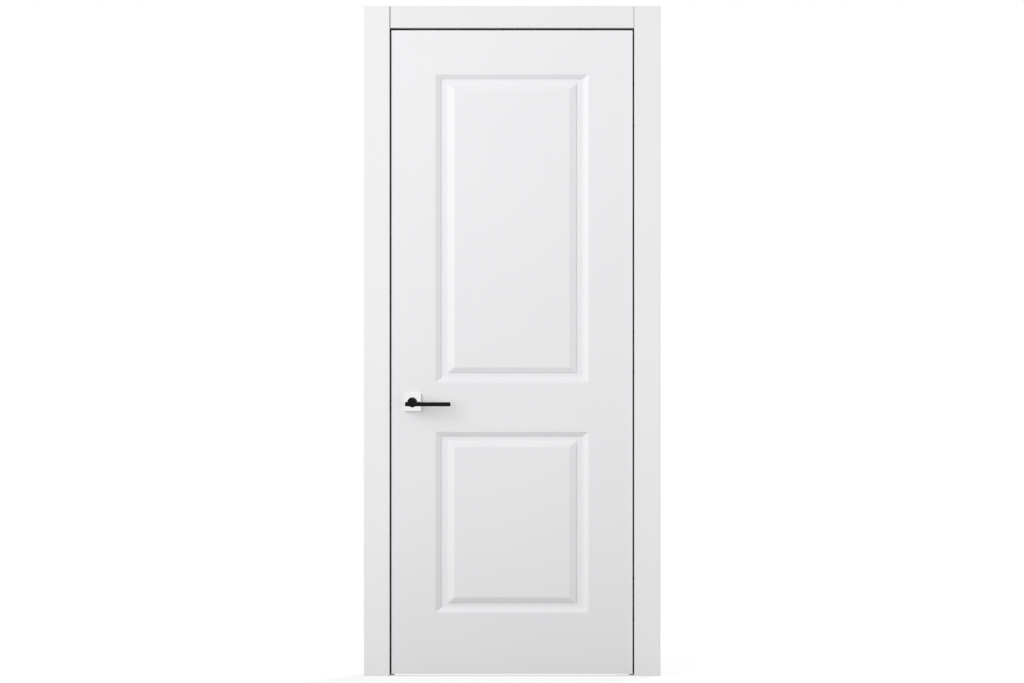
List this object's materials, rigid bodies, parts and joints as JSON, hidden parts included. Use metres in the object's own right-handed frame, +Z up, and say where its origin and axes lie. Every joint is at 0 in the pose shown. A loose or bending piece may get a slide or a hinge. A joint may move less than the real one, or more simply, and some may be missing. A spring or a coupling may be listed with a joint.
{
  "type": "panelled interior door",
  "caption": "White interior door with raised panels in its lined frame, with flat casings, concealed hinges, a magnetic latch and slim lever handles on square roses.",
  "frame": {"origin": "on the wall-side face of the hinge jamb, at floor level and in the middle of the wall's thickness", "axes": "+X out of the hinge jamb into the wall, +Y away from the side that the door opens to, +Z up"},
  "size_m": [0.936, 0.1795, 2.115],
  "materials": {
    "frame_paint": "satin white paint",
    "leaf_paint": "satin white paint",
    "seal_rubber": "matt black",
    "hinge_steel": "burnished black",
    "latch_steel": "satin",
    "rose_chrome": "polished",
    "lever_black": "satin black"
  },
  "bodies": {
    "frame": {"hinge_jamb": "frame_paint", "latch_jamb": "frame_paint", "head_jamb": "frame_paint", "hinge_casing_front": "frame_paint", "latch_casing_front": "frame_paint", "head_casing_front": "frame_paint", "hinge_casing_back": "frame_paint", "latch_casing_back": "frame_paint", "head_casing_back": "frame_paint", "hinge_seal": "seal_rubber", "latch_seal": "seal_rubber", "head_seal": "seal_rubber", "strike_plate": "latch_steel", "lower_hinge_frame_cup": "hinge_steel", "middle_hinge_frame_cup": "hinge_steel", "upper_hinge_frame_cup": "hinge_steel"},
    "leaf": {"hinge_stile": "leaf_paint", "latch_stile": "leaf_paint", "top_rail": "leaf_paint", "lock_rail": "leaf_paint", "bottom_rail": "leaf_paint", "upper_panel": "leaf_paint", "lower_panel": "leaf_paint", "upper_moulding_front": "leaf_paint", "upper_moulding_back": "leaf_paint", "lower_moulding_front": "leaf_paint", "lower_moulding_back": "leaf_paint", "latch_plate": "latch_steel", "latch_bolt": "latch_steel", "front_rose": "rose_chrome", "back_rose": "rose_chrome", "lower_hinge_leaf_cup": "hinge_steel", "middle_hinge_leaf_cup": "hinge_steel", "upper_hinge_leaf_cup": "hinge_steel"},
    "hinge_links": {"lower_hinge_link": "hinge_steel", "middle_hinge_link": "hinge_steel", "upper_hinge_link": "hinge_steel"},
    "lever_set": {"front_lever": "lever_black", "back_lever": "lever_black", "spindle": "hinge_steel"}
  },
  "joints": [
    {"name": "leaf_swing", "type": "hinge", "parent": "frame", "child": "leaf", "pos_m": [-0.0425, -0.066, 0], "axis": [0, 0, 1], "range_deg": [0, 100]},
    {"name": "hinge_link_turn", "type": "hinge", "parent": "frame", "child": "hinge_links", "pos_m": [-0.0345, -0.033, 0], "axis": [0, 0, 1], "range_deg": [0, 56]},
    {"name": "lever_turn", "type": "hinge", "parent": "leaf", "child": "lever_set", "pos_m": [-0.7405, -0.038, 0.864], "axis": [0, 1, 0], "range_deg": [0, 40], "stiffness_Nm_per_rad": 0.8, "springref_deg": -34.38}
  ],
  "couplings": [
    {"joint": "hinge_link_turn", "follows": "leaf_swing", "ratio": 0.55}
  ]
}
